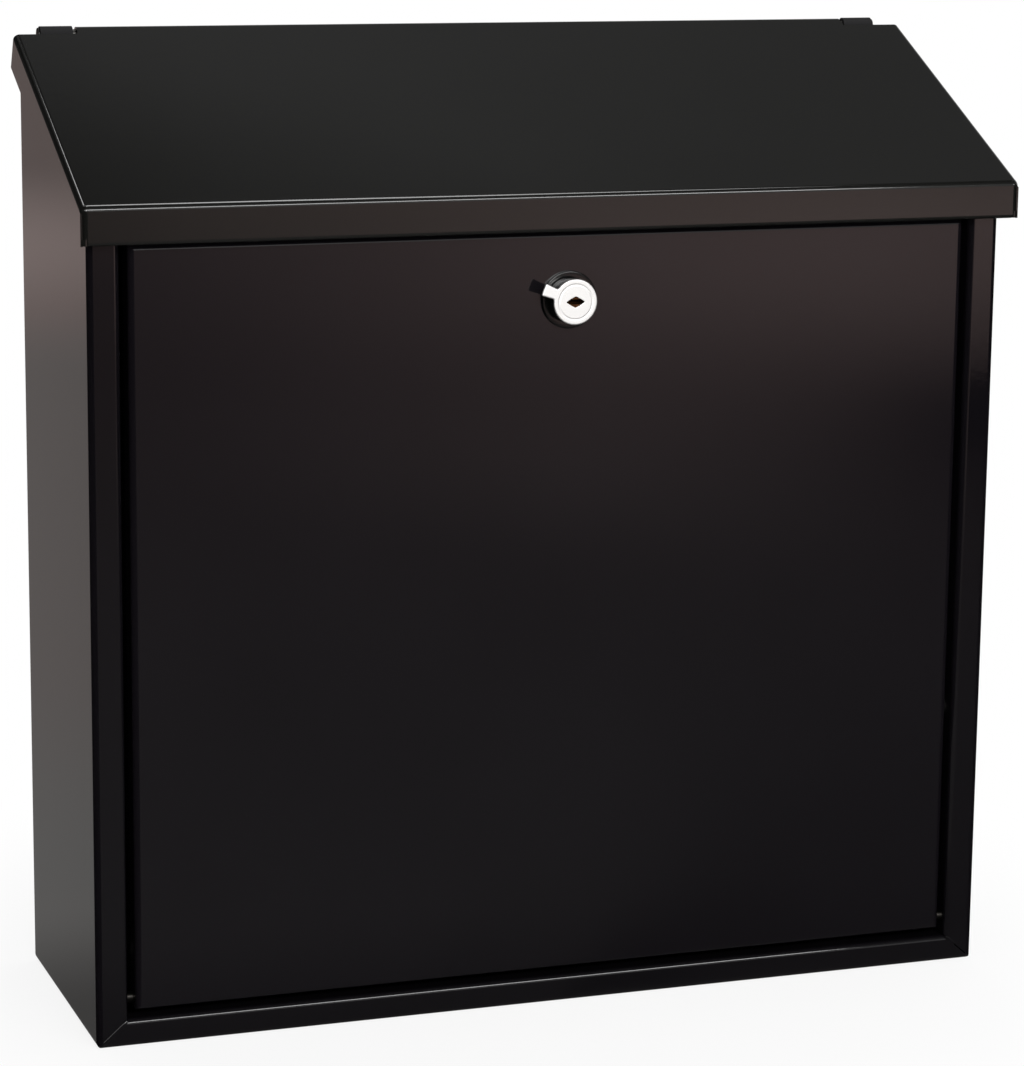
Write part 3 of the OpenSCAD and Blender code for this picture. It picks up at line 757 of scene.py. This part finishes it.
for half_x, half_y in ((slot_half_l, slot_half_w), (slot_half_w, slot_half_l)):
    rim = [(-half_x, -half_y), (half_x, -half_y), (half_x, half_y), (-half_x, half_y)]
    rings = [[Vector((x * slot_taper, y * slot_taper, screw_back + slot_deep)) for x, y in rim],
             [Vector((x, y, screw_back - cutter_over)) for x, y in rim]]
    cutter = ringed("slot_cutter", rings, closed=False)
    cut = screw.modifiers.new("slot", "BOOLEAN")
    cut.operation = "DIFFERENCE"
    cut.solver = "EXACT"
    cut.object = cutter
    solved = screw.evaluated_get(bpy.context.evaluated_depsgraph_get())
    carved = bpy.data.meshes.new_from_object(solved)
    screw.modifiers.clear()
    screw.data = carved
    bpy.data.objects.remove(cutter)
screw.data.set_sharp_from_angle(angle=edge_angle)
stand_in(on_lock(screw), "lock_core", "cam_zinc", zinc, "cam_screw")

# ---------------------------------------------------------------------------------------------
# Studio floor
# A sheet of white paper under the box, with painted pools of light on it that only gloss mirrors.
# They are dim close by, painted darker still at both sides, and brightest far out to the front
# right, so that the black coat goes from near black below to a warm grey above.
# ---------------------------------------------------------------------------------------------
floor_half = 30
floor_gap = 0.0003
mesh = bpy.data.meshes.new("floor")
mesh.from_pydata([(-floor_half, -floor_half, 0), (floor_half, -floor_half, 0),
                  (floor_half, floor_half, 0), (-floor_half, floor_half, 0)], [], [(0, 1, 2, 3)])
floor = bpy.data.objects.new("floor", mesh)
scene.collection.objects.link(floor)
floor.location = (0, 0, cad_box[0][2] - floor_gap)
paper, tree = blank_material("white_paper_floor")
spot = add(tree, "ShaderNodeNewGeometry").outputs["Position"]


def ramp(value, start, end, level_start, level_end):
    """A level that changes softly as a value goes from start to end."""
    return add(tree, "ShaderNodeMapRange", {"Value": value, "From Min": start, "From Max": end,
                                            "To Min": level_start, "To Max": level_end},
               interpolation_type="SMOOTHSTEP").outputs["Result"]


def pool(centre, inner, outer, level_in, level_out):
    """A soft round pool on the floor, whose level changes from its middle to its rim."""
    reach = add(tree, "ShaderNodeVectorMath", {0: spot, 1: centre}, operation="DISTANCE")
    return ramp(reach.outputs["Value"], inner, outer, level_in, level_out)


def combine(operation, first, second):
    """One value made of two."""
    return add(tree, "ShaderNodeMath", {0: first, 1: second}, operation=operation).outputs[0]


def turned_from(corner, heading, start, end, level_start, level_end, place):
    """A soft wedge that fans out from a corner: 1 is straight along the heading."""
    away = add(tree, "ShaderNodeVectorMath", {0: place, 1: corner}, operation="SUBTRACT")
    course = add(tree, "ShaderNodeVectorMath", {0: away.outputs["Vector"]}, operation="NORMALIZE")
    along = add(tree, "ShaderNodeVectorMath", {0: course.outputs["Vector"], 1: heading},
                operation="DOT_PRODUCT")
    return ramp(along.outputs["Value"], start, end, level_start, level_end)


def by_ray(soft, mirrored, seen):
    """One shader for soft light, one for what gloss and glass mirror and one for the camera."""
    ray = add(tree, "ShaderNodeLightPath").outputs
    shiny = combine("MAXIMUM", ray["Is Glossy Ray"], ray["Is Transmission Ray"])
    lit = add(tree, "ShaderNodeMixShader", {0: shiny, 1: soft, 2: mirrored}).outputs[0]
    shown = add(tree, "ShaderNodeMixShader", {0: ray["Is Camera Ray"], 1: lit, 2: seen})
    return shown.outputs[0]


floor_z = floor.location.z
# the camera sees white paper that keeps the box's soft shadow close by
matt = add(tree, "ShaderNodeBsdfDiffuse", {"Color": linear("#f4f4f4")}).outputs[0]
white = add(tree, "ShaderNodeEmission", {"Color": (1, 1, 1, 1), "Strength": 1.0}).outputs[0]
clear = pool((0, -0.06, floor_z), 0.15, 0.32, 0.85, 1.0)
seen = add(tree, "ShaderNodeMixShader", {0: clear, 1: matt, 2: white}).outputs[0]
depth = add(tree, "ShaderNodeSeparateXYZ", {"Vector": spot}).outputs["Y"]
# dim in front and lighter behind
near = turned_from((0, -0.11, floor_z), (0.85, -0.53, 0), 0.83, 1.03, 0.152, 0.072, spot)
before = combine("MULTIPLY", near, ramp(depth, -0.115, -0.26, 0.55, 1.0))
beside = ramp(depth, -0.07, 0.07, 0.14, 0.287)
level = combine("MAXIMUM", before, combine("MULTIPLY", beside, ramp(depth, -0.14, -0.1, 0.0, 1.0)))
# a row of bright pools far out at the front right and one far behind
for place, rim, gain in (((1.36, -2.71), 1.3, 0.86), ((0.84, -1.89), 0.68, 0.44),
                         ((0.58, -1.25), 0.53, 0.27), ((1.08, -2.25), 0.5, 0.17),
                         ((-0.68, 2.3), 0.9, 0.21)):
    level = combine("ADD", level, pool((*place, floor_z), 0.0, rim, gain, 0.0))
# a painted dark patch that the door's right side mirrors, and a darker one before it
for place, inner, rim in (((0.98, -1.03), 0.18, 0.665), ((0.947, -1.248), 0.2, 0.284)):
    level = combine("MULTIPLY", level, pool((*place, floor_z), inner, rim, 0.0, 1.0))
# painted dark wedges at both front corners, which darken the folds between the face and the sides
left_painted_dark = turned_from((-0.18, -0.11, floor_z), (-0.94, -0.34, 0), 0.1, 0.36, 1.0, 0.03, spot)
right_painted_dark = turned_from((0.18, -0.115, floor_z), (1, 0, 0), 0.5, 0.6, 1.0, 0.05, spot)
level = combine("MULTIPLY", combine("MULTIPLY", level, left_painted_dark), right_painted_dark)
far = add(tree, "ShaderNodeVectorMath", {0: spot}, operation="LENGTH").outputs["Value"]
# the light is a little pink far out, and less so behind
blush = combine("MULTIPLY", ramp(far, 0.3, 1.8, 0.0, 1.0), ramp(depth, -0.1, 0.0, 1.0, 0.0))
blush = combine("ADD", blush, ramp(depth, 0.1, 0.5, 0.0, 0.28))
blush = combine("ADD", blush, ramp(depth, 1.45, 1.9, 0.0, 0.42))
glow = add(tree, "ShaderNodeMix", {0: blush, 6: linear("#f8f5f2"),
                                   7: linear("#ffdfd9")}, data_type="RGBA").outputs[2]
mirrored = add(tree, "ShaderNodeEmission", {"Color": glow, "Strength": level}).outputs[0]
add(tree, "ShaderNodeOutputMaterial", {"Surface": by_ray(matt, mirrored, seen)})
floor.data.materials.append(paper)

# ---------------------------------------------------------------------------------------------
# Studio light
# White walls, dark in a few directions, and five soft boxes. Those overhead and in front draw the
# two thin bright lines along every bent edge, the one at head height lights the lock's face and
# the small ones draw the folds on the left.
# ---------------------------------------------------------------------------------------------
world = bpy.data.worlds.new("studio")
scene.world = world
world.use_nodes = True
tree = world.node_tree
tree.nodes.clear()
heading = add(tree, "ShaderNodeTexCoord").outputs["Generated"]
course = add(tree, "ShaderNodeSeparateXYZ", {"Vector": heading}).outputs
# white walls up to some 20 degrees, a dim ceiling, dimmer to the right and dark overhead
walls = ramp(course["Z"], 0.25, 0.6, 0.95, 0.2)
walls = combine("MULTIPLY", walls, ramp(course["X"], 0.24, 0.44, 1.0, 0.68))
walls = combine("MULTIPLY", walls, ramp(course["Z"], 0.79, 0.825, 1.0, 0.2))
# black curtains to the left, behind on the left and in front on the right
for toward, start, end, dimmed in (((-0.94, -0.34, 0), 0.12, 0.5, 0.04),
                                   ((-0.62, 0.78, 0), 0.6, 0.8, 0.04),
                                   ((0.82, -0.57, 0), 0.85, 0.93, 0.08)):
    curtain = turned_from((0, 0, 0), toward, start, end, 1.0, dimmed, heading)
    walls = combine("MULTIPLY", walls, curtain)
mirrored = add(tree, "ShaderNodeBackground", {"Color": (1, 1, 1, 1), "Strength": walls}).outputs[0]
soft = add(tree, "ShaderNodeBackground", {"Color": (1, 1, 1, 1), "Strength": 0.4}).outputs[0]
white = add(tree, "ShaderNodeBackground", {"Color": (1, 1, 1, 1), "Strength": 1.0}).outputs[0]
add(tree, "ShaderNodeOutputWorld", {"Surface": by_ray(soft, mirrored, white)})

lamps_aim = Vector((0, -0.1, 0.05))
for name, place, size, power in (("softbox_over", (0.34, 0.12, 1.5), (0.9, 0.34), 6.5),
                                 ("softbox_front", (0.3, -1.75, 0.82), (1.25, 0.3), 15.0),
                                 ("softbox_head", (-0.15, -1.7, 0.5), (0.6, 0.6), 9.5),
                                 ("softbox_left", (-0.42, 0.6, 1.5), (0.3, 0.3), 1.6),
                                 ("softbox_camera", (-0.8, -1.5, 0.55), (0.6, 0.4), 2.6)):
    lamp = bpy.data.lights.new(name, "AREA")
    lamp.shape = "RECTANGLE"
    lamp.size, lamp.size_y = size
    lamp.energy = power
    hung = bpy.data.objects.new(name, lamp)
    scene.collection.objects.link(hung)
    hung.location = place
    hung.rotation_euler = (lamps_aim - Vector(place)).to_track_quat("-Z", "Y").to_euler()
